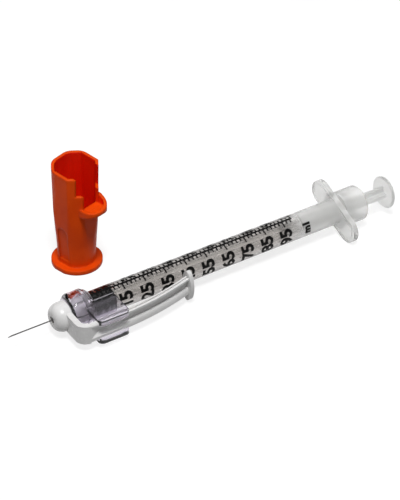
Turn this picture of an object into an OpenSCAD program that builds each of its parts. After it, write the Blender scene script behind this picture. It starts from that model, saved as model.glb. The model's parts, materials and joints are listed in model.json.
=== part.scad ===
// Insulin syringe for 1 ml with a fixed needle, a sliding needle guard and its needle shield, taken off.
// The syringe lies on a table with its needle towards -X, and the shield stands beside it on its closed end.
// A piece of the syringe is drawn along X from the scale's zero line, with the guard's arm on the -Y side.

/* [Barrel] */
// Outer diameter of the barrel
barrel_d = 6.6; // [6:0.1:8]
// Bore that holds 1 ml over the length of the scale
bore_d = 4.7; // [4.2:0.05:5]
// Length of the scale, from 0 to 100 units
scale_l = 57.7; // [50:0.1:65]
// From the scale's last line to the finger flange
neck_l = 13.6; // [8:0.1:20]
// Thickness of the barrel's closed front
front_wall = 1.6; // [1:0.1:3]
// Length of the finger flange
flange_l = 19; // [16:0.1:26]
// Width of the finger flange
flange_w = 6.7; // [6.7:0.1:9]
// Thickness of the finger flange
flange_t = 1.4; // [1:0.1:2.5]
// Turn of the finger flange about the barrel, from level
flange_turn = 22; // [15:1:60]
// Outer diameter of the socket behind the flange
socket_d = 9.3; // [8:0.1:11]
// Length of the socket behind the flange
socket_l = 6.7; // [4:0.1:12]
// Wall of the socket
socket_wall = 1; // [0.7:0.05:1.4]

/* [Needle] */
// Outer diameter of the needle
needle_d = 0.33; // [0.23:0.01:0.5]
// Diameter of the needle's lumen
lumen_d = 0.16; // [0.1:0.01:0.2]
// Free length of the needle
needle_l = 12.7; // [6:0.1:16]
// Angle of the ground bevel
bevel_angle = 12; // [10:1:25]

/* [Plunger] */
// Length of the stopper
stopper_l = 6; // [4:0.1:8]
// Width over the rod's ribs
rod_w = 3.5; // [3:0.1:4.3]
// Thickness of a rib
rib_t = 0.9; // [0.6:0.05:1.4]
// Bare length of the rod between the socket and the thumb disc
rod_bare_l = 7.9; // [4:0.1:12]
// Diameter of the thumb disc
thumb_d = 8.5; // [7:0.1:14]
// Thickness of the thumb disc
thumb_t = 1; // [0.8:0.05:2]

/* [Guard collar] */
// Outer diameter of the collar's front cup
cup_d = 9.5; // [8.6:0.1:11]
// Length of the cup
cup_l = 5.8; // [5:0.1:8]
// Wall of the saddle on the barrel's side
saddle_wall = 0.75; // [0.6:0.05:1.2]
// Length of the saddle along the barrel, behind the cup
saddle_l = 5.2; // [4.5:0.1:9]
// Length of the guide for the guard's arm
guide_l = 8.2; // [6:0.1:9]
// Wall of the guide
guide_wall = 0.75; // [0.5:0.05:1]
// Height of each lip that holds the arm in the guide
guide_lip = 0.65; // [0.5:0.05:1.2]

/* [Needle guard] */
// Diameter of the guard's nose
nose_d = 7.2; // [6.6:0.1:8]
// Length of the nose
nose_l = 3.9; // [3.6:0.05:6]
// Diameter of the hole that the needle passes
nose_hole_d = 1.9; // [1:0.1:2.4]
// Distance of the arm's outer face from the barrel's axis
arm_reach = 9.45; // [9:0.05:11]
// Thickness of the arm
arm_t = 1.5; // [1.2:0.05:1.8]
// Height of the arm
arm_h = 5; // [4:0.1:6]
// Radius of the arm's long inward curve
arm_curve_r = 74; // [65:1:200]
// Place of the finger pad behind the scale's zero line
pad_x = 23.6; // [20:0.1:26]
// Height of the finger pad
pad_h = 8.4; // [6:0.1:8.8]
// Width of the finger pad
pad_w = 3.8; // [3:0.1:4]
// Thickness of the finger pad
pad_t = 1; // [0.8:0.05:1.5]

/* [Needle shield] */
// Height of the shield, at the highest side of its slanting mouth
shield_h = 28.7; // [26:0.1:32]
// Diameter of the shield over the rounded corners of its mouth
mouth_d = 12.1; // [11.9:0.1:14]
// Diameter of the shield at its foot
foot_d = 9.2; // [8:0.1:10]
// Width of the eight-sided mouth over its side flats
flats_w = 10.8; // [10:0.05:11.6]
// Width of the eight-sided mouth over its front and rear flats
ends_w = 10.7; // [10:0.05:11.6]
// Width of the eight-sided mouth over its corner flats
corners_w = 11.3; // [10.6:0.05:11.7]
// Wall of the shield
shield_wall = 0.75; // [0.6:0.05:1]
// Diameter of the base flange
base_d = 12.7; // [11.8:0.1:15]
// Thickness of the base flange
base_t = 1.1; // [0.8:0.05:2]
// Width of the opening for the guide
opening_w = 7.7; // [7.2:0.1:8.5]
// Width of the narrower opening for the arm
slot_w = 5; // [4:0.1:6]
// Depth of the narrower opening below the mouth
slot_h = 10.2; // [7:0.1:12]
// Reach of the lip from the shield's axis
lip_reach = 8.8; // [7.5:0.1:10]
// Turn of the shield on the table
shield_turn = 16; // [0:1:40]
// Distance of the shield behind the syringe's axis
shield_back = 22.6; // [18:0.1:40]
// Place of the shield along the syringe, from the scale's zero line
shield_along = 9.6; // [0:0.1:60]

/* [Hidden] */
$fn = 64;

// Clearances, and the overrun of every cut
seat_gap = 0.02;
slide_gap = 0.1;
body_gap = 0.25;
cut = 0.5;
quarter_turn = 90;

// Barrel, front to rear
nozzle_d = 2.9;
nozzle_l = 3.7;
hub_d = 4;
hub_l = 3.5;
hub_block_d = 6.2;
hub_block_l = 3;
hub_block_count = 6;
hub_block_gap = 0.45;
hub_block_turn = 20;
snap_d = 7.2;
snap_l = 0.8;
snap_x = -1.3;
barrel_edge = 0.4;
bore_front_gap = 0.15;
passage_d = 0.3;
flange_groove_w = 0.45;
flange_groove = 0.2;
flange_rim = 0.6;
socket_edge = 0.7;
socket_depth = 4.5;
flange_x = scale_l + neck_l;
socket_end_x = flange_x + flange_t + socket_l;
hub_front_x = -front_wall - hub_l;
nozzle_front_x = hub_front_x - nozzle_l;

// Needle and its adhesive
needle_tip_x = nozzle_front_x - needle_l;
needle_root_x = -front_wall / 2;
well_d = 1.7;
well_depth = 1;
bead_rise = 0.35;

// Plunger
seal_gap = 0.02;
stopper_neck_gap = 0.35;
stopper_seal_l = 0.9;
stopper_nose_l = 0.35;
barb_d = 2.2;
barb_tip_d = 1.2;
barb_l = 3.2;
rod_plate_t = 0.8;
thumb_edge = 0.35;
thumb_x = socket_end_x + rod_bare_l;
rod_front_x = stopper_l;

// Guard collar
cup_edge = 1.3;
cup_front_wall = 0.6;
cup_hole_d = 3.7;
cup_room = 0.5;
cup_inside_d = barrel_d + 2 * cup_room;
cup_grip_x = -2.2;
cup_step = 0.5;
cup_step_l = 0.9;
saddle_d = barrel_d + 2 * seat_gap + 2 * saddle_wall;
cup_rear_x = 0;
cup_front_x = cup_rear_x - cup_l;
saddle_end_x = cup_rear_x + saddle_l;
guide_edge = 0.4;
guide_corner_r = 1.3;
guide_front_x = saddle_end_x - guide_l;
guide_in_h = arm_h + 2 * slide_gap;
guide_out_h = guide_in_h + 2 * guide_wall;
guide_reach = arm_reach + slide_gap + guide_wall;
saddle_rise = 1.1;
saddle_y = guide_out_h / 2 - saddle_rise;

// Needle guard
nose_wall = 0.6;
nose_tip_d = 3.4;
nose_bore_d = 4.4;
nose_dome_l = 2.7;
nose_cone_l = 0.3;
nose_steps = 10;
nose_rear_x = cup_front_x - body_gap;
nose_front_x = nose_rear_x - nose_l;
bend_r = 2.7;
bend_back = 0.1;
bend_front_x = nose_rear_x - arm_t - bend_back;
bend_start_y = nose_bore_d / 2 + nose_wall / 2;
rail_h = 0.55;
rail_w = 0.4;
rail_drop = 0.12;
slit_w = 0.22;
slit_d = 0.5;
groove_h = 1.4;
groove_d = 0.95;
rail_slope_h = 1.3;
arm_edge = 0.3;
ramp_x = -4.9;
rails_x = -2.4;
curve_x = 2.5;
curve_mid_r = arm_curve_r - arm_t / 2;
curve_mid_y = arm_reach - arm_t / 2;
arm_end_angle = asin((pad_x + pad_t / 2 - curve_x) / curve_mid_r);
pad_drop = 0.3;
fn_pad = 48;
fn_curve = 360;

// Needle shield: shares of its height and of its mouth's diameter
waist_h_share = 0.58;
waist_d_share = 0.945;
mid_h_share = 0.28;
mid_d_share = 0.825;
flats_waist_share = 0.965;
flats_foot_share = 0.92;
ends_foot_share = 1.02;
shield_floor = 1.2;
opening_h_share = 0.6;
mouth_slant = 6;
mouth_slant_turn = -48;
base_flats_share = 0.975;
lip_w = 6.8;
lip_wall = 0.8;
lip_corner_r = 2.8;
lip_floor_rise = 0.25;
lip_edge = 0.8;
lip_rim = 0.2;
lip_drop = 1.7;
lip_far_rise = 2.4;
lip_slope_w = 1.8;
panel_w = 3;
panel_h = 9.6;
panel_low = 1.4;
panel_depth = 0.25;
waist_z = waist_h_share * shield_h;
foot_flats_w = flats_foot_share * foot_d;
flats_lean = atan((flats_waist_share * flats_w - foot_flats_w) / 2 / (waist_z - base_t));

// The syringe rests on the cup's underside and on the flange's lower end, so its rear end is raised a little
cup_rest_x = cup_front_x + cup_edge;
flange_end_r = flange_w / 2;
flange_drop = (flange_l / 2 - flange_end_r) * sin(flange_turn) + flange_end_r;
pitch = atan((flange_drop - cup_d / 2) / (flange_x - cup_rest_x));
axis_z = cup_d / 2 * cos(pitch) - cup_rest_x * sin(pitch);

// The origin is below the middle of the whole object's box
low_x = needle_tip_x * cos(pitch) + needle_d / 2 * sin(pitch);
high_x = (thumb_x + thumb_t) * cos(pitch) + (thumb_d / 2 - thumb_edge) * sin(pitch);
low_y = -guide_reach;
high_y = shield_back + base_d / 2;
origin_x = (low_x + high_x) / 2;
origin_y = (low_y + high_y) / 2;

module on_syringe() {
    translate([-origin_x, -origin_y, axis_z]) rotate([0, -pitch, 0]) children();
}

module on_table() {
    translate([shield_along - origin_x, shield_back - origin_y, 0]) rotate([0, 0, shield_turn]) children();
}

// A turned solid along X: each point of the outline is [station, radius]
module turned(outline) {
    rotate([90, 0, 90]) rotate_extrude() polygon([for (p = outline) [p[1], p[0]]]);
}

module rod_x(x0, x1, d) {
    translate([x0, 0, 0]) rotate([0, 90, 0]) cylinder(h = x1 - x0, d = d);
}

// An outline with two round ends, long way along the first axis
module oblong(l, w) {
    square([l - w, w], center = true);
    for (side = [-1, 1]) translate([side * (l - w) / 2, 0]) circle(d = w);
}

function quarter(cx, cr, r, from, to, steps = 8) =
    [for (i = [0:steps]) let (a = from + (to - from) * i / steps) [cx + r * cos(a), cr + r * sin(a)]];

module barrel_outside() {
    turned([
        [nozzle_front_x, 0],
        [nozzle_front_x, nozzle_d / 2],
        [hub_front_x, nozzle_d / 2],
        [hub_front_x, hub_d / 2],
        [-front_wall, hub_d / 2],
        [-front_wall, barrel_d / 2 - barrel_edge],
        [-front_wall + barrel_edge, barrel_d / 2],
        [flange_x + flange_t, barrel_d / 2],
        [flange_x + flange_t, socket_d / 2],
        [socket_end_x - socket_edge, socket_d / 2],
        each quarter(socket_end_x - socket_edge, socket_d / 2 - socket_edge, socket_edge, 90, 0),
        [socket_end_x, 0],
    ]);
    rod_x(snap_x, snap_x + snap_l, snap_d);
    // the blocks round the hub
    difference() {
        rod_x(hub_front_x, hub_front_x + hub_block_l, hub_block_d);
        for (i = [0:hub_block_count - 1])
            rotate([hub_block_turn + i * 360 / hub_block_count, 0, 0])
                translate([hub_front_x - cut, -hub_block_gap / 2, hub_d / 2])
                    cube([hub_block_l + 2 * cut, hub_block_gap, hub_block_d]);
    }
}

module finger_flange() {
    rotate([flange_turn, 0, 0])
        translate([flange_x, 0, 0])
            rotate([90, 0, 90])
                difference() {
                    linear_extrude(flange_t) oblong(flange_l, flange_w);
                    // a shallow groove follows the edge of the front face
                    translate([0, 0, -cut])
                        linear_extrude(flange_groove + cut)
                            difference() {
                                oblong(flange_l - 2 * flange_rim, flange_w - 2 * flange_rim);
                                oblong(flange_l - 2 * flange_rim - 2 * flange_groove_w,
                                    flange_w - 2 * flange_rim - 2 * flange_groove_w);
                                circle(d = barrel_d + flange_rim);
                            }
                }
}

module barrel() {
    color([0.88, 0.87, 0.84, 0.6])
        on_syringe()
            difference() {
                union() {
                    barrel_outside();
                    finger_flange();
                }
                rod_x(-bore_front_gap, socket_end_x + cut, bore_d);
                rod_x(socket_end_x - socket_depth, socket_end_x + cut, socket_d - 2 * socket_wall);
                rod_x(needle_root_x, cut, passage_d);
                rod_x(nozzle_front_x - cut, needle_root_x, needle_d + 2 * seat_gap);
                rod_x(nozzle_front_x - cut, nozzle_front_x + well_depth, well_d);
            }
}

module needle() {
    color([0.75, 0.76, 0.78])
        on_syringe()
            difference() {
                rod_x(needle_tip_x, needle_root_x, needle_d);
                rod_x(needle_tip_x - cut, needle_root_x + cut, lumen_d);
                translate([needle_tip_x, 0, -needle_d / 2])
                    rotate([0, -bevel_angle, 0])
                        translate([-cut, -needle_d, 0])
                            cube([needle_l, 2 * needle_d, needle_l]);
            }
}

module needle_adhesive() {
    color([0.9, 0.88, 0.75])
        on_syringe()
            turned([
                [nozzle_front_x + well_depth, needle_d / 2 + seat_gap],
                [nozzle_front_x + well_depth, well_d / 2 - seat_gap],
                [nozzle_front_x, well_d / 2 - seat_gap],
                [nozzle_front_x - bead_rise, needle_d / 2 + bead_rise],
                [nozzle_front_x - 2 * bead_rise, needle_d / 2 + seat_gap],
            ]);
}

// The clear cup round the barrel's tip, and the saddle that runs back along the barrel's side
module collar_outside() {
    turned([
        [cup_front_x, 0],
        [cup_front_x, cup_d / 2 - cup_edge],
        each quarter(cup_front_x + cup_edge, cup_d / 2 - cup_edge, cup_edge, 180, 90),
        [cup_rear_x - cup_step_l - guide_edge, cup_d / 2],
        [cup_rear_x - cup_step_l, cup_d / 2 - guide_edge],
        [cup_rear_x - cup_step_l, cup_d / 2 - cup_step],
        [cup_rear_x - guide_edge, cup_d / 2 - cup_step],
        [cup_rear_x, cup_d / 2 - cup_step - guide_edge],
        [cup_rear_x, 0],
    ]);
    difference() {
        rod_x(cup_rear_x - guide_edge, saddle_end_x, saddle_d);
        translate([cup_rear_x - cut, -saddle_y, -saddle_d]) cube([saddle_l + 2 * cut, saddle_d, 2 * saddle_d]);
    }
}

// The guide's outline from above, its outer corners round
module guide_plan(inset) {
    r = guide_corner_r - inset;
    difference() {
        translate([guide_front_x, -guide_reach + inset]) square([guide_l, guide_reach - inset]);
        for (x = [guide_front_x, saddle_end_x])
            translate([x, -guide_reach + inset, 0])
                difference() {
                    square(2 * r, center = true);
                    translate([x < 0 ? r : -r, r]) circle(r);
                }
    }
}

module guard_collar() {
    tunnel_l = guide_l + 2 * cut;
    color([0.72, 0.68, 0.78, 0.45])
        on_syringe()
            difference() {
                union() {
                    collar_outside();
                    difference() {
                        translate([0, 0, -guide_out_h / 2]) linear_extrude(guide_out_h) guide_plan(0);
                        // the tunnel for the arm
                        translate([guide_front_x - cut, -arm_reach - slide_gap, -guide_in_h / 2])
                            cube([tunnel_l, arm_reach, guide_in_h]);
                        // the window between the lips
                        translate([guide_front_x - cut, -guide_reach - cut, -guide_in_h / 2 + guide_lip])
                            cube([tunnel_l, guide_reach, guide_in_h - 2 * guide_lip]);
                        // the plates stop beside the barrel
                        translate([guide_front_x - cut, -saddle_y, -guide_out_h])
                            cube([tunnel_l, guide_reach, 2 * guide_out_h]);
                    }
                }
                rod_x(cup_front_x - cut, cup_rear_x, cup_hole_d);
                rod_x(cup_front_x + cup_front_wall, cup_grip_x, cup_inside_d);
                rod_x(cup_front_x + cup_front_wall, saddle_end_x + cut, barrel_d + 2 * seat_gap);
                rod_x(snap_x - seat_gap, snap_x + snap_l + seat_gap, snap_d + 2 * seat_gap);
            }
}

// The arm's section: x runs out from its inner face, y up. The plain one has no rails.
module arm_section(railed) {
    top = arm_h / 2;
    rail_low = top - rail_drop - rail_h;
    polygon(concat(
        [[0, -top + arm_edge], [0, top - arm_edge], [arm_edge, top]],
        railed
            ? [
                [arm_t - rail_w - slit_w, top],
                [arm_t - rail_w - slit_w, top - slit_d],
                [arm_t - rail_w, top - slit_d],
                [arm_t - rail_w, top - rail_drop],
                [arm_t, top - rail_drop],
                [arm_t, rail_low],
                [arm_t - groove_d, rail_low],
                [arm_t - groove_d, rail_low - groove_h],
                [arm_t, rail_low - groove_h - rail_slope_h],
            ]
            : [[arm_t - arm_edge, top], [arm_t, top - arm_edge]],
        [[arm_t, -top + arm_edge], [arm_t - arm_edge, -top], [arm_edge, -top]]
    ));
}

// The groove between the rails, with some length beyond the outer face
module groove_section() {
    rail_low = arm_h / 2 - rail_drop - rail_h;
    polygon([
        [arm_t - groove_d, rail_low],
        [arm_t + cut, rail_low],
        [arm_t + cut, rail_low - groove_h - rail_slope_h],
        [arm_t, rail_low - groove_h - rail_slope_h],
        [arm_t - groove_d, rail_low - groove_h],
    ]);
}

// A straight stretch of arm of length l along X, its inner face on y = 0 and its outer face towards -Y
module arm_run(l, railed) {
    rotate([90, 0, 90]) mirror([1, 0, 0]) linear_extrude(l) arm_section(railed);
}

module nose() {
    turned([
        [nose_front_x, nose_hole_d / 2],
        [nose_front_x, nose_tip_d / 2],
        each [for (i = [0:nose_steps])
            let (a = 90 * i / nose_steps)
                [nose_front_x + nose_dome_l * (1 - cos(a)),
                    nose_tip_d / 2 + (nose_d - nose_tip_d) / 2 * sin(a)]],
        [nose_rear_x, nose_d / 2],
        [nose_rear_x, nose_bore_d / 2],
        [nose_front_x + nose_wall + nose_cone_l, nose_bore_d / 2],
        [nose_front_x + nose_wall, nose_hole_d / 2],
    ]);
}

module guard_bend() {
    run_l = arm_reach - bend_r - bend_start_y;
    // the front wall, out from the nose
    translate([bend_front_x, -bend_start_y, -arm_h / 2])
        mirror([0, 1, 0])
            cube([arm_t, run_l, arm_h]);
    // the corner and the run to the guide
    translate([bend_front_x + bend_r, -arm_reach + bend_r, 0])
        intersection() {
            difference() {
                cylinder(h = arm_h, r = bend_r, center = true);
                cylinder(h = arm_h + cut, r = bend_r - arm_t, center = true);
            }
            translate([-bend_r, -bend_r, -arm_h / 2]) cube([bend_r, bend_r, arm_h]);
        }
    // the groove between the rails starts here, on a ramp
    difference() {
        translate([bend_front_x + bend_r, -arm_reach + arm_t, 0])
            arm_run(rails_x - bend_front_x - bend_r, false);
        intersection() {
            translate([ramp_x - cut, -arm_reach + arm_t, 0])
                rotate([90, 0, 90])
                    mirror([1, 0, 0])
                        linear_extrude(rails_x - ramp_x + 2 * cut) groove_section();
            translate([0, 0, -arm_h])
                linear_extrude(2 * arm_h)
                    polygon([
                        [ramp_x, -arm_reach],
                        [rails_x, -arm_reach + groove_d],
                        [rails_x + cut, -arm_reach + groove_d],
                        [rails_x + cut, -arm_reach - cut],
                        [ramp_x, -arm_reach - cut],
                    ]);
        }
    }
}

module arm() {
    translate([rails_x, -arm_reach + arm_t, 0]) arm_run(curve_x - rails_x, true);
    translate([curve_x, -arm_reach + arm_curve_r, 0])
        rotate([0, 0, -90])
            rotate_extrude(angle = arm_end_angle, $fn = fn_curve)
                translate([arm_curve_r - arm_t, 0]) arm_section(true);
}

module finger_pad() {
    pad_y = curve_mid_y - curve_mid_r * (1 - cos(arm_end_angle));
    translate([pad_x, -pad_y, -pad_drop])
        rotate([90, 0, 90])
            linear_extrude(pad_t)
                polygon([for (i = [0:fn_pad - 1])
                    [pad_w / 2 * cos(360 * i / fn_pad), pad_h / 2 * sin(360 * i / fn_pad)]]);
}

module needle_guard() {
    color([0.93, 0.93, 0.92])
        on_syringe() {
            nose();
            guard_bend();
            arm();
            finger_pad();
        }
}

module plunger_rod() {
    color([0.9, 0.89, 0.87, 0.8])
        on_syringe() {
            for (turn = [0, 90])
                rotate([turn, 0, 0])
                    translate([rod_front_x + rod_plate_t / 2, -rod_w / 2, -rib_t / 2])
                        cube([thumb_x - rod_front_x, rod_w, rib_t]);
            rod_x(rod_front_x, rod_front_x + rod_plate_t, rod_w);
            turned([
                [rod_front_x - barb_l, 0],
                [rod_front_x - barb_l, barb_tip_d / 2],
                [rod_front_x - barb_l / 2, barb_d / 2],
                [rod_front_x - barb_l / 2, barb_tip_d / 2],
                [rod_front_x + rod_plate_t / 2, barb_tip_d / 2],
                [rod_front_x + rod_plate_t / 2, 0],
            ]);
            turned([
                [thumb_x, 0],
                [thumb_x, thumb_d / 2 - thumb_edge],
                [thumb_x + thumb_edge, thumb_d / 2],
                [thumb_x + thumb_t - thumb_edge, thumb_d / 2],
                [thumb_x + thumb_t, thumb_d / 2 - thumb_edge],
                [thumb_x + thumb_t, 0],
            ]);
        }
}

module stopper() {
    seal_r = bore_d / 2 - seal_gap;
    neck_r = seal_r - stopper_neck_gap;
    mid_x = (stopper_l - stopper_seal_l) / 2;
    color([0.08, 0.08, 0.09])
        on_syringe()
            turned([
                [0, 0],
                [0, neck_r],
                [stopper_nose_l, seal_r],
                [stopper_nose_l + stopper_seal_l, seal_r],
                [stopper_nose_l + stopper_seal_l, neck_r],
                [mid_x, neck_r],
                [mid_x, seal_r],
                [mid_x + stopper_seal_l, seal_r],
                [mid_x + stopper_seal_l, neck_r],
                [stopper_l - stopper_seal_l, neck_r],
                [stopper_l - stopper_seal_l, seal_r],
                [stopper_l - seat_gap, seal_r],
                [stopper_l - seat_gap, barb_tip_d / 2 + seat_gap],
                [stopper_l - barb_l / 2 + seat_gap, barb_tip_d / 2 + seat_gap],
                [stopper_l - barb_l / 2 + seat_gap, barb_d / 2 + seat_gap],
                [stopper_l - barb_l - seat_gap, barb_tip_d / 2 + seat_gap],
                [stopper_l - barb_l - seat_gap, 0],
            ]);
}

// The shield's round form, drawn in by inset for its hollow
module shield_round(inset, low, high) {
    rotate_extrude()
        polygon([
            [0, low],
            [foot_d / 2 - inset, low],
            [mid_d_share * mouth_d / 2 - inset, mid_h_share * shield_h],
            [waist_d_share * mouth_d / 2 - inset, waist_z],
            [mouth_d / 2 - inset, high],
            [0, high],
        ]);
}

// A prism between two opposite flats, which lean in towards the foot
module between_flats(turn, mouth_w, foot_w, inset, low, high) {
    mouth_x = mouth_w / 2 - inset;
    waist_x = flats_waist_share * mouth_w / 2 - inset;
    foot_x = foot_w / 2 - inset;
    low_x = foot_x - (waist_x - foot_x) / (waist_z - base_t) * (base_t - low);
    rotate([90, 0, turn])
        linear_extrude(2 * mouth_d, center = true)
            polygon([
                [-low_x, low],
                [low_x, low],
                [waist_x, waist_z],
                [mouth_x, high],
                [-mouth_x, high],
                [-waist_x, waist_z],
            ]);
}

// Eight-sided at the mouth, round between the side flats at the foot
module shield_form(inset, low, high) {
    foot_w = ends_foot_share * foot_d;
    intersection() {
        shield_round(inset, low, high);
        between_flats(0, flats_w, foot_flats_w, inset, low, high);
        between_flats(quarter_turn, ends_w, foot_w, inset, low, high);
        between_flats(quarter_turn / 2, corners_w, foot_w, inset, low, high);
        between_flats(-quarter_turn / 2, corners_w, foot_w, inset, low, high);
    }
}

module base_flange() {
    intersection() {
        cylinder(h = base_t, d = base_d);
        translate([-base_flats_share * base_d / 2, -base_d, 0])
            cube([base_flats_share * base_d, 2 * base_d, base_t]);
    }
}

// A prism across the shield from points [reach, height]
module across(w, outline) {
    rotate([90, 0, -90]) linear_extrude(w, center = true) polygon(outline);
}

// All that lies below the mouth's slanting plane
module mouth_cut() {
    r = mouth_d;
    drop = tan(mouth_slant) * r;
    middle_z = shield_h - drop / 2;
    rotate([0, 0, mouth_slant_turn])
        across(2 * r, [[-r, 0], [r, 0], [r, middle_z - drop], [-r, middle_z + drop]]);
}

// The lip below the opening: a scoop for the bend of the guard's arm, higher on one side
module lip_plan(inset) {
    r = lip_corner_r - inset;
    for (side = [-1, 1])
        translate([side * (lip_w / 2 - lip_corner_r), -lip_reach + lip_corner_r]) circle(r);
    translate([-lip_w / 2 + lip_corner_r, -lip_reach + inset]) square([lip_w - 2 * lip_corner_r, lip_reach - inset]);
    translate([-lip_w / 2 + inset, -lip_reach + lip_corner_r]) square([lip_w - 2 * inset, lip_reach - lip_corner_r]);
}

module shield_lip(floor_z) {
    side_r = flats_waist_share * ends_w / 2 - shield_wall;
    edge_z = floor_z + lip_floor_rise;
    difference() {
        intersection() {
            linear_extrude(shield_h) lip_plan(0);
            across(2 * lip_w, [
                [side_r, floor_z - lip_drop],
                [side_r + lip_wall, floor_z - lip_drop],
                [lip_reach, edge_z - lip_edge],
                [lip_reach, edge_z + lip_rim],
                [side_r + lip_wall, floor_z + lip_far_rise],
                [side_r, floor_z + lip_far_rise],
            ]);
        }
        intersection() {
            linear_extrude(shield_h) lip_plan(lip_wall);
            across(2 * lip_w, [
                [0, floor_z],
                [side_r, floor_z],
                [lip_reach, edge_z],
                [lip_reach, shield_h],
                [0, shield_h],
            ]);
        }
        // one side stays low, and the rim slopes up to the other
        rotate([90, 0, 0])
            linear_extrude(2 * lip_reach, center = true)
                polygon([
                    [-lip_w, edge_z + lip_rim],
                    [0, edge_z + lip_rim],
                    [lip_slope_w, floor_z + lip_far_rise],
                    [lip_slope_w, shield_h],
                    [-lip_w, shield_h],
                ]);
    }
}

// The arched panels, set into the lower part of the flat sides
module side_panels() {
    for (side = [0, 1])
        mirror([side, 0, 0])
            translate([foot_flats_w / 2 - panel_depth, 0, base_t])
                rotate([0, flats_lean, 0])
                    rotate([90, 0, 90])
                        linear_extrude(mouth_d) {
                            translate([-panel_w / 2, panel_low]) square([panel_w, panel_h - panel_w / 2]);
                            translate([0, panel_low + panel_h - panel_w / 2]) circle(d = panel_w);
                        }
}

module needle_shield() {
    floor_z = shield_h - slot_h;
    step_z = shield_h - opening_h_share * slot_h;
    color([0.9, 0.3, 0.08])
        on_table()
            difference() {
                union() {
                    intersection() {
                        shield_form(0, base_t / 2, shield_h);
                        mouth_cut();
                    }
                    base_flange();
                    shield_lip(floor_z);
                }
                shield_form(shield_wall, shield_floor, shield_h + cut);
                // the opening: wide for the guide, and narrower below for the arm
                translate([-opening_w / 2, -mouth_d / 2 - cut, step_z])
                    cube([opening_w, mouth_d / 2, shield_h]);
                translate([-slot_w / 2, -mouth_d / 2 - cut, floor_z])
                    cube([slot_w, mouth_d / 2, shield_h]);
                side_panels();
            }
}

barrel();
needle();
needle_adhesive();
guard_collar();
needle_guard();
plunger_rod();
stopper();
needle_shield();
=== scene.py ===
"""The insulin syringe with its needle shield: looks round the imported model."""
import json, math
import bpy, bmesh
from mathutils import Matrix, Vector


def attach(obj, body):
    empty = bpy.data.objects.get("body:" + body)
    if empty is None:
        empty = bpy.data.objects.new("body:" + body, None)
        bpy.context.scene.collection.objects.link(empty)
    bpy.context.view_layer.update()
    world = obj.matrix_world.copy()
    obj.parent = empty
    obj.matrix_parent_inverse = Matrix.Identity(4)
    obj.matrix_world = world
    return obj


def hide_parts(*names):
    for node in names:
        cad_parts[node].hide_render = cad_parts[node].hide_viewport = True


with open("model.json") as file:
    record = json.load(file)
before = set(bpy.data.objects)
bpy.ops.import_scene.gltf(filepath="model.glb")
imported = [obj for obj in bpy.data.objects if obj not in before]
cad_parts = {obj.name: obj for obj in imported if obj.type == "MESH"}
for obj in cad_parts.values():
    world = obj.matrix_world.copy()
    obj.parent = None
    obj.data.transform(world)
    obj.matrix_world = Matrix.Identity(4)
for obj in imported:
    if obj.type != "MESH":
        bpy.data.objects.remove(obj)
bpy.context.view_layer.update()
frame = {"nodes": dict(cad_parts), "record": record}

scene = bpy.context.scene
MM = 0.001

# ---------------------------------------------------------------- the syringe's own axes
mounts = {m["name"]: m for m in frame["record"]["mounts"]}
THUMB_X = 88.3                      # station of the thumb disc's rear face, mm behind the scale's zero line
AX = Vector(mounts["thumb_face"]["axis"]).normalized()
YA = Vector((0, 1, 0))
ZA = AX.cross(YA)
ZERO = Vector(mounts["thumb_face"]["pos_m"]) - AX * THUMB_X * MM
SHIELD = Vector(mounts["shield_base"]["pos_m"])
BARREL_R = 3.3                      # mm


def along(x, y, z):
    """A vector: x to the thumb disc, y away from the viewer, z up."""
    return AX * x + YA * y + ZA * z


def local(x, y, z):
    """The point that lies x, y and z mm from the axis at the scale's zero line."""
    return ZERO + AX * (x * MM) + YA * (y * MM) + ZA * (z * MM)


def add_object(name, data):
    obj = bpy.data.objects.new(name, data)
    scene.collection.objects.link(obj)
    return obj


# ---------------------------------------------------------------- camera, fitted to the photo
SENSOR, FOCAL_PX, HEIGHT_PX = 36, 1623.4, 500
right = along(0.835426, -0.549407, 0.014628)
back = along(-0.447323, -0.664251, 0.598893).normalized()
right = (right - back * right.dot(back)).normalized()
cam_data = bpy.data.cameras.new("camera")
cam_data.sensor_fit = "AUTO"
cam_data.sensor_width = SENSOR
cam_data.lens = FOCAL_PX * SENSOR / HEIGHT_PX
cam_data.clip_start = 0.01
cam_data.clip_end = 20
cam = add_object("camera", cam_data)
pose = Matrix((right, back.cross(right), back)).transposed().to_4x4()
pose.translation = local(-144.03, -259.821, 238.24)
cam.matrix_world = pose
scene.camera = cam
scene.view_settings.view_transform = "Standard"
scene.view_settings.look = "None"


# ---------------------------------------------------------------- nodes
def vector_math(nt, operation, a, b):
    """A vector operation on the socket a and on b, a socket or a plain vector."""
    node = nt.nodes.new("ShaderNodeVectorMath")
    node.operation = operation
    nt.links.new(a, node.inputs[0])
    if isinstance(b, bpy.types.NodeSocket):
        nt.links.new(b, node.inputs[1])
    else:
        node.inputs[1].default_value = b
    return node.outputs["Value" if operation == "DOT_PRODUCT" else "Vector"]


def pick(nt, operation, first, *others):
    """The highest or lowest of some sockets: operation is MAXIMUM or MINIMUM."""
    for other in others:
        node = nt.nodes.new("ShaderNodeMath")
        node.operation = operation
        nt.links.new(first, node.inputs[0])
        nt.links.new(other, node.inputs[1])
        first = node.outputs[0]
    return first


def remap(nt, value, from_min, from_max, to_min=0.0, to_max=1.0, smooth=False):
    node = nt.nodes.new("ShaderNodeMapRange")
    if smooth:
        node.interpolation_type = "SMOOTHSTEP"
    node.inputs["From Min"].default_value = from_min
    node.inputs["From Max"].default_value = from_max
    node.inputs["To Min"].default_value = to_min
    node.inputs["To Max"].default_value = to_max
    nt.links.new(value, node.inputs["Value"])
    return node.outputs["Result"]


def span(nt, fac, lo, hi):
    return remap(nt, fac, 0.0, 1.0, lo, hi)


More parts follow.
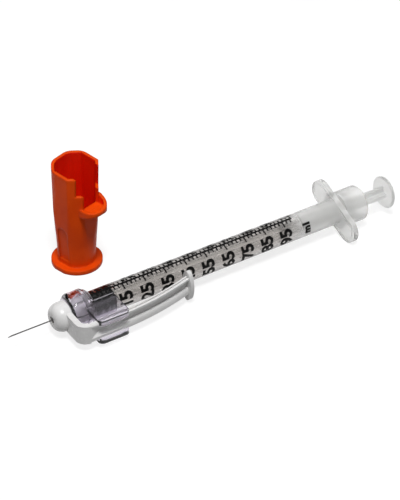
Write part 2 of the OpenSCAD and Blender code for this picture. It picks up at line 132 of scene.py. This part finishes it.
def stations(nt, vec, x0, x1, to_min=0.0, to_max=1.0, smooth=False):
    """Goes from to_min to to_max along the syringe, between x0 and x1 mm behind the zero line."""
    place = vector_math(nt, "DOT_PRODUCT", vec, AX)
    return remap(nt, place, local(x0, 0, 0).dot(AX), local(x1, 0, 0).dot(AX), to_min, to_max, smooth)


def noise(nt, vec, scale, detail=3.0, rough=0.55):
    node = nt.nodes.new("ShaderNodeTexNoise")
    node.inputs["Scale"].default_value = scale
    node.inputs["Detail"].default_value = detail
    node.inputs["Roughness"].default_value = rough
    nt.links.new(vec, node.inputs["Vector"])
    return node.outputs["Fac"]


def ramp(nt, fac, dark, light, lo=0.35, hi=0.65):
    node = nt.nodes.new("ShaderNodeValToRGB")
    for element, place, colour in zip(node.color_ramp.elements, (lo, hi), (dark, light)):
        element.position = place
        element.color = (*colour, 1)
    nt.links.new(fac, node.inputs["Fac"])
    return node.outputs["Color"]


def mix_in(nt, bsdf, fac, colour):
    """Gives the shader another colour where fac is high."""
    node = nt.nodes.new("ShaderNodeMix")
    node.data_type = "RGBA"
    nt.links.new(fac, node.inputs[0])
    nt.links.new(bsdf.inputs["Base Color"].links[0].from_socket, node.inputs[6])
    nt.links.new(colour, node.inputs[7])
    nt.links.new(node.outputs[2], bsdf.inputs["Base Color"])


# ---------------------------------------------------------------- light
def area(name, at, size, energy):
    """A square white lamp that looks at the middle of the table."""
    aim = Vector((0, 0, 0.005))
    data = bpy.data.lights.new(name, "AREA")
    data.energy = energy
    data.size = size
    turn = (aim - Vector(at)).to_track_quat("-Z", "Y").to_matrix().to_4x4()
    add_object(name, data).matrix_world = Matrix.Translation(at) @ turn


world = bpy.data.worlds.new("studio")
scene.world = world
world.use_nodes = True
nt = world.node_tree
bg = nt.nodes["Background"]
bg.inputs["Color"].default_value = (1, 1, 1, 1)
sky = nt.nodes.new("ShaderNodeTexCoord")         # a white room, brighter overhead
height = nt.nodes.new("ShaderNodeSeparateXYZ")
nt.links.new(sky.outputs["Generated"], height.inputs[0])
glow = remap(nt, height.outputs["Z"], 0.1, 1.0, 0.04, 0.4, smooth=True)
path = nt.nodes.new("ShaderNodeLightPath")       # seen directly and through clear plastic it is white
white = pick(nt, "MAXIMUM", glow, path.outputs["Is Camera Ray"], path.outputs["Is Transmission Ray"])
nt.links.new(white, bg.inputs["Strength"])
area("softbox", (-0.15, 0.25, 0.7), 0.8, 0.8)
area("key", (-0.12, -0.20, 0.64), 0.14, 2.8)

FLOOR_HALF, FLOOR_Z = 3.0, -0.00002              # metres
floor_mesh = bpy.data.meshes.new("floor")
floor_mesh.from_pydata([(x * FLOOR_HALF, y * FLOOR_HALF, 0) for x, y in ((-1, -1), (1, -1), (1, 1), (-1, 1))], [],
                       [(0, 1, 2, 3)])
floor = add_object("floor", floor_mesh)
floor.location.z = FLOOR_Z


# ---------------------------------------------------------------- materials
def new_material(name):
    """A new material, its node tree, its shader and the object's own coordinates."""
    mat = bpy.data.materials.new(name)
    mat.use_nodes = True
    nt = mat.node_tree
    return mat, nt, nt.nodes["Principled BSDF"], nt.nodes.new("ShaderNodeTexCoord").outputs["Object"]


def plastic(name, dark, light, rough, transmission=0.0, ior=1.49, grain=900.0, grain_bump=0.00001, spec=0.5):
    """A moulded plastic: cloudy colour, uneven gloss and the faint waviness of a moulded skin."""
    mat, nt, bsdf, vec = new_material(name)
    nt.links.new(ramp(nt, noise(nt, vec, 160.0, 4.0), dark, light), bsdf.inputs["Base Color"])
    fine = noise(nt, vec, grain)
    nt.links.new(span(nt, fine, rough * 0.8, rough * 1.25), bsdf.inputs["Roughness"])
    skin = nt.nodes.new("ShaderNodeBump")
    skin.inputs["Strength"].default_value = 0.3
    skin.inputs["Distance"].default_value = grain_bump
    nt.links.new(fine, skin.inputs["Height"])
    nt.links.new(skin.outputs["Normal"], bsdf.inputs["Normal"])
    bsdf.inputs["Transmission Weight"].default_value = transmission
    bsdf.inputs["IOR"].default_value = ior
    bsdf.inputs["Specular IOR Level"].default_value = spec
    return mat, nt, bsdf, vec


# the barrel: milky where its walls are thick, behind the scale and in the hub, and hazy in the tube
mat_barrel, nt, bsdf, vec = plastic("barrel_plastic", (0.91, 0.885, 0.87), (0.97, 0.945, 0.93), 0.18,
                                    transmission=1.0, grain=1200.0, spec=0.6)
rear = stations(nt, vec, 54, 62, smooth=True)
hub = stations(nt, vec, -0.8, -1.8)
clear = pick(nt, "MINIMUM", span(nt, rear, 1.0, 0.68), span(nt, hub, 1.0, 0.25))
nt.links.new(clear, bsdf.inputs["Transmission Weight"])
milk = ramp(nt, noise(nt, vec, 300.0), (0.95, 0.95, 0.94), (0.98, 0.98, 0.97))
mix_in(nt, bsdf, pick(nt, "MAXIMUM", rear, hub), milk)
haze = nt.nodes.new("ShaderNodeVolumeAbsorption")
haze.inputs["Color"].default_value = (0.5, 0.49, 0.48, 1)
nt.links.new(stations(nt, vec, 54, 60, 500, 0), haze.inputs["Density"])
nt.links.new(haze.outputs[0], nt.nodes["Material Output"].inputs["Volume"])

# the rod: clearer where it is thin, in the tube, than at its disc
mat_rod, nt, bsdf, vec = plastic("plunger_plastic", (0.94, 0.94, 0.93), (0.97, 0.97, 0.96), 0.36)
thick = stations(nt, vec, 50, 74, smooth=True)
nt.links.new(span(nt, thick, 0.97, 0.75), bsdf.inputs["Transmission Weight"])
nt.links.new(span(nt, thick, 0.22, 0.36), bsdf.inputs["Roughness"])

mat_guard = plastic("guard_plastic", (0.79, 0.785, 0.78), (0.84, 0.835, 0.83), 0.26)[0]
mat_collar = plastic("collar_plastic", (0.71, 0.68, 0.74), (0.78, 0.75, 0.81), 0.025, transmission=1.0, ior=1.5,
                     grain=500.0, grain_bump=0.000001)[0]
mat_glue = plastic("adhesive", (0.80, 0.77, 0.62), (0.86, 0.83, 0.70), 0.12, transmission=0.5)[0]
mat_rubber = plastic("stopper_rubber", (0.004, 0.004, 0.004), (0.009, 0.008, 0.008), 0.45, grain=2000.0, spec=0.1)[0]

# the shield: its inside is painted a deeper red, for the light that has come through the wall, and the moulded edges
# are soft
mat_shield, nt, bsdf, vec = plastic("shield_plastic", (0.80, 0.063, 0.0012), (0.90, 0.080, 0.0016), 0.42, spec=0.1,
                                    grain=1500.0, grain_bump=0.000012)
outward = vector_math(nt, "MULTIPLY", vector_math(nt, "SUBTRACT", vec, SHIELD), (100, 100, 0))
normal = nt.nodes.new("ShaderNodeNewGeometry").outputs["Normal"]
# painted light: faces turned in towards the axis get a deeper red, standing in for light that has come through the
# wall
inside = remap(nt, vector_math(nt, "DOT_PRODUCT", outward, normal), -0.1, -0.35)
painted_transmitted_red = ramp(nt, noise(nt, vec, 160.0, 4.0), (0.82, 0.010, 0.0006), (0.90, 0.016, 0.0010))
mix_in(nt, bsdf, inside, painted_transmitted_red)
soft = nt.nodes.new("ShaderNodeBevel")
soft.samples = 8
soft.inputs["Radius"].default_value = 0.7 * MM
nt.links.new(soft.outputs["Normal"], bsdf.inputs["Normal"].links[0].from_node.inputs["Normal"])

# the needle: drawn steel, with fine lines along it
mat_steel, nt, bsdf, vec = new_material("needle_steel")
drawn = nt.nodes.new("ShaderNodeMapping")
drawn.inputs["Scale"].default_value = (0.05, 4.0, 4.0)
nt.links.new(vec, drawn.inputs["Vector"])
lines = noise(nt, drawn.outputs["Vector"], 900.0, 2.0, 0.5)
nt.links.new(ramp(nt, lines, (0.16, 0.155, 0.15), (0.26, 0.255, 0.25)), bsdf.inputs["Base Color"])
nt.links.new(span(nt, lines, 0.18, 0.34), bsdf.inputs["Roughness"])
bsdf.inputs["Metallic"].default_value = 1.0

# printing ink
mat_ink, nt, bsdf, vec = new_material("scale_ink")
patch = noise(nt, vec, 2600.0)
nt.links.new(ramp(nt, patch, (0.001, 0.001, 0.001), (0.004, 0.004, 0.004)), bsdf.inputs["Base Color"])
nt.links.new(span(nt, patch, 0.55, 0.75), bsdf.inputs["Roughness"])
bsdf.inputs["Specular IOR Level"].default_value = 0.15

# the floor: plain paper, white where it is seen directly, in gloss and through clear plastic
mat_floor, nt, bsdf, vec = new_material("floor_paper")
nt.links.new(ramp(nt, noise(nt, vec, 60.0, 4.0), (0.28, 0.28, 0.28), (0.31, 0.31, 0.31)), bsdf.inputs["Base Color"])
bsdf.inputs["Roughness"].default_value = 0.9
bsdf.inputs["Specular IOR Level"].default_value = 0.1
bsdf.inputs["Emission Color"].default_value = (1, 1, 1, 1)
path = nt.nodes.new("ShaderNodeLightPath")
seen = pick(nt, "MAXIMUM", *(path.outputs[kind] for kind in ("Is Camera Ray", "Is Glossy Ray", "Is Transmission Ray")))
nt.links.new(span(nt, seen, 0.0, 0.78), bsdf.inputs["Emission Strength"])
floor.data.materials.append(mat_floor)

for node, mat in {"barrel": mat_barrel, "needle": mat_steel, "needle_adhesive": mat_glue,
                  "guard_collar": mat_collar, "needle_guard": mat_guard, "plunger_rod": mat_rod,
                  "stopper": mat_rubber, "needle_shield": mat_shield}.items():
    obj = frame["nodes"][node]
    for sl in obj.material_slots:
        sl.material = mat
    if not obj.material_slots:
        obj.data.materials.append(mat)


# ---------------------------------------------------------------- meshes
def welded(node):
    """A copy of a node's mesh, with the triangles of each flat face joined."""
    bm = bmesh.new()
    bm.from_mesh(frame["nodes"][node].data)
    bmesh.ops.remove_doubles(bm, verts=bm.verts[:], dist=1e-6)
    bmesh.ops.dissolve_limit(bm, angle_limit=math.radians(0.6), verts=bm.verts[:], edges=bm.edges[:])
    return bm


def piece(name, bm, mat):
    """An object with the mesh bm, which is used up."""
    me = bpy.data.meshes.new(name)
    bm.to_mesh(me)
    bm.free()
    me.materials.clear()
    me.materials.append(mat)
    return add_object(name, me)


def smooth(obj, sharp):
    """Smooth shading, but for edges over sharp degrees."""
    me = obj.data
    spare = me.attributes.get("custom_normal")
    if spare:
        me.attributes.remove(spare)
    me.shade_smooth()
    me.set_sharp_from_angle(angle=math.radians(sharp))


# ---------------------------------------------------------------- the needle guard, with its arm's full section
# All in mm. Depths are measured in from the arm's outer face, and heights from the axis.
CURVE_X, CURVE_R, REACH = 2.5, 74.0, 9.45        # where the arm's arc starts, its radius and the arm's outer face
GROOVE_X, ARM_END_X = -5.0, 23.7                 # from the groove's front end to the pad
RAMP_X0, RAMP_X1 = -4.85, -2.45                  # the groove's ramp at its front end
BAR_Z, BAR_RISE, BAR_DEPTH = -0.87, 1.3, 0.95    # the solid's bar slopes from the outer face up to the groove
BAR_FOOT_Z, BAR_ROUND = -1.33, 0.95              # the rounded bar's foot, and its rise
SLIT_X, SLIT_Z = -2.5, 1.9                       # the slit beside the top rail: its front end and its foot
SLIT_DEPTH, SLIT_WIDENED = 0.62, 0.86            # how deep its wall lies in the solid, and here
NEAR = 0.03                                      # what counts as lying on a face


def to_arm(co):
    """Station, depth and height of a point on the arm."""
    d = (co - ZERO) / MM
    x, y, z = d.dot(AX), d.dot(YA), d.dot(ZA)
    if x <= CURVE_X:
        return x, y + REACH, z
    return x, CURVE_R - math.hypot(x - CURVE_X, y + REACH - CURVE_R), z


def from_arm(x, y0, depth, z):
    """The point at that depth and height, on the line through x and y0 to the middle of the arc."""
    if x <= CURVE_X:
        return local(x, depth - REACH, z)
    cy = CURVE_R - REACH
    a = math.atan2(y0 - cy, x - CURVE_X)
    r = CURVE_R - depth
    return local(CURVE_X + r * math.cos(a), cy + r * math.sin(a), z)


def on_slope(v):
    x, depth, z = to_arm(v.co)
    return (GROOVE_X < x < ARM_END_X and -NEAR < depth < BAR_DEPTH + NEAR
            and abs(z - (BAR_Z + BAR_RISE / BAR_DEPTH * depth)) < NEAR)


def is_cross(e):
    """An edge that runs up the slope."""
    (x0, depth0, _), (x1, depth1, _) = (to_arm(v.co) for v in e.verts)
    return all(on_slope(v) for v in e.verts) and abs(x0 - x1) < 0.4 and abs(depth0 - depth1) > 0.8


bm = welded("needle_guard")
bmesh.ops.subdivide_edges(bm, edges=[e for e in bm.edges if is_cross(e)], cuts=5, use_grid_fill=True)
for v in bm.verts:
    x, depth, z = to_arm(v.co)
    y0 = ((v.co - ZERO) / MM).dot(YA)
    if on_slope(v):                 # the bar below the groove is a quarter round
        t = min(max(depth / BAR_DEPTH, 0), 1)
        rise = t if RAMP_X0 < x < RAMP_X1 else math.sqrt(1 - (1 - t) ** 2)
        v.co = from_arm(x, y0, depth, BAR_FOOT_Z + BAR_ROUND * rise)
    elif SLIT_X < x < ARM_END_X and abs(depth - SLIT_DEPTH) < NEAR and z > SLIT_Z:
        v.co = from_arm(x, y0, SLIT_WIDENED, z)
guard = piece("guard_moulding", bm, mat_guard)
smooth(guard, 32)
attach(guard, "guard_body")
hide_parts("needle_guard")


# ---------------------------------------------------------------- the needle shield, with rounded corners
def is_corner(e):
    """An edge between two of the eight sides, up to the mouth and away from the opening.

    Two of the inner ones end higher up, on a ledge that a round corner would cut into, and stay as they are.
    """
    low, high = sorted(((v.co - SHIELD) / MM for v in e.verts), key=lambda p: p.z)
    return (high.z > 27 and min(low.y, high.y) > 0 and (e.is_convex or low.z < 16.7)
            and (high - low).normalized().z > 0.95
            and math.radians(30) < e.calc_face_angle(0) < math.radians(60))


bm = welded("needle_shield")
bmesh.ops.bevel(bm, geom=[e for e in bm.edges if is_corner(e)], offset=1.2 * MM, offset_type="OFFSET", segments=6,
                profile=0.5, affect="EDGES", clamp_overlap=False)
shield = piece("shield_moulding", bm, mat_shield)
smooth(shield, 12.5)
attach(shield, "shield_body")
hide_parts("needle_shield")

# ---------------------------------------------------------------- the printed scale
# All in mm. The print is laid out flat first: x along the barrel, y round it from the long line towards the viewer.
UNIT = 0.577                                     # along the barrel per unit
LINE_PHI = math.radians(84.6)                    # the long line's place round the barrel, from the viewer's side up
LINE_HALF = 0.28                                 # half the long line's width
TICK_W, TICK, LONG_TICK = 0.40, 1.05, 1.75       # the ticks' width, and how far round the barrel they reach
INK_R = BARREL_R + 0.012                         # just above the skin
FIGURE, CAP_SHARE = 3.2, 0.69                    # the figures' height, and its share of the font's size
NEAR_S, FAR_S, NEAR_SHIFT = 2.15, -1.95, -0.28   # where the figures start on either side, and the near ones' shift
STRIP = 0.3                                      # the width of a strip that still lies close to the round skin


def on_barrel(x, s):
    """The point x behind the zero line and s round the barrel."""
    phi = LINE_PHI - s / BARREL_R
    return local(x, -INK_R * math.cos(phi), INK_R * math.sin(phi))


def bar(x0, x1, s0, s1):
    flat.faces.new([flat.verts.new(p) for p in ((x0, s0, 0), (x1, s0, 0), (x1, s1, 0), (x0, s1, 0))])


def tick(units, s0, s1):
    bar(units * UNIT - TICK_W / 2, units * UNIT + TICK_W / 2, s0, s1)


def words(text, x_mid, s_near, height, bold, far_side=False, gap=0.93):
    """Figures whose tops point to the needle; s_near is the edge of the last figure next to the long line."""
    cu = bpy.data.curves.new("figures", "FONT")
    cu.body = text
    cu.size = height / CAP_SHARE
    cu.offset = bold
    cu.space_character = gap
    cu.align_x = "LEFT" if far_side else "RIGHT"
    cu.resolution_u = 4
    ob = add_object("figures", cu)
    bpy.context.view_layer.update()
    me = ob.to_mesh()
    ys = [v.co.y for v in me.vertices]
    mid = (min(ys) + max(ys)) / 2
    new = [flat.verts.new((x_mid - (v.co.y - mid), s_near - v.co.x, 0)) for v in me.vertices]
    for poly in me.polygons:
        flat.faces.new([new[i] for i in poly.vertices])
    ob.to_mesh_clear()
    bpy.data.objects.remove(ob)
    bpy.data.curves.remove(cu)


flat = bmesh.new()
bar(-TICK_W / 2, 100 * UNIT + TICK_W / 2, -LINE_HALF, LINE_HALF)
for k in range(1, 100, 2):
    tick(k, LINE_HALF, LONG_TICK if k % 10 == 5 else TICK)
for k in range(0, 101, 2):
    tick(k, -(LONG_TICK if k % 10 == 0 else TICK), -LINE_HALF)
for k in range(5, 100, 10):
    words(str(k), k * UNIT + NEAR_SHIFT, NEAR_S, FIGURE, 0.19)
for k in range(10, 101, 10):
    words(str(k), k * UNIT, FAR_S, FIGURE, 0.17, far_side=True)
words("ml", 105 * UNIT + 0.2, 2.5, 1.85, 0.20, gap=1.2)

lo = min(v.co.y for v in flat.verts)
hi = max(v.co.y for v in flat.verts)
cut = math.floor(lo / STRIP) * STRIP
while cut < hi:
    bmesh.ops.bisect_plane(flat, geom=flat.verts[:] + flat.edges[:] + flat.faces[:], plane_co=(0, cut, 0),
                           plane_no=(0, 1, 0))
    cut += STRIP
for v in flat.verts:
    v.co = on_barrel(v.co.x, v.co.y)
bmesh.ops.recalc_face_normals(flat, faces=flat.faces[:])
for f in flat.faces:
    c = f.calc_center_median()
    if f.normal.dot(c - (ZERO + AX * (c - ZERO).dot(AX))) < 0:
        f.normal_flip()
scale_print = piece("scale_print", flat, mat_ink)
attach(scale_print, "barrel_body")

# ---------------------------------------------------------------- where the stopper's ribs press on the bore
TURN = 96                                        # steps round the seal
LAND, GROOVE = 2.353, 2.25                       # radii, mm
profile = [(0.10, 1.9), (0.30, LAND), (1.9, LAND), (2.1, GROOVE), (2.3, LAND),       # station and radius, mm
           (3.7, LAND), (3.9, GROOVE), (4.1, LAND), (5.75, LAND), (5.95, 2.2)]
seal = bmesh.new()
angles = [2 * math.pi * k / TURN for k in range(TURN)]
rings = [[seal.verts.new(local(x, -r * math.cos(a), r * math.sin(a))) for a in angles] for x, r in profile]
for a, b in zip(rings, rings[1:]):
    for k in range(TURN):
        seal.faces.new((a[k], a[(k + 1) % TURN], b[(k + 1) % TURN], b[k]))
for end in rings[0], rings[-1]:
    seal.faces.new(end)
bmesh.ops.recalc_face_normals(seal, faces=seal.faces[:])
stopper_seal = piece("stopper_seal", seal, mat_rubber)
for poly in stopper_seal.data.polygons:
    poly.use_smooth = len(poly.vertices) == 4
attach(stopper_seal, "plunger_body")
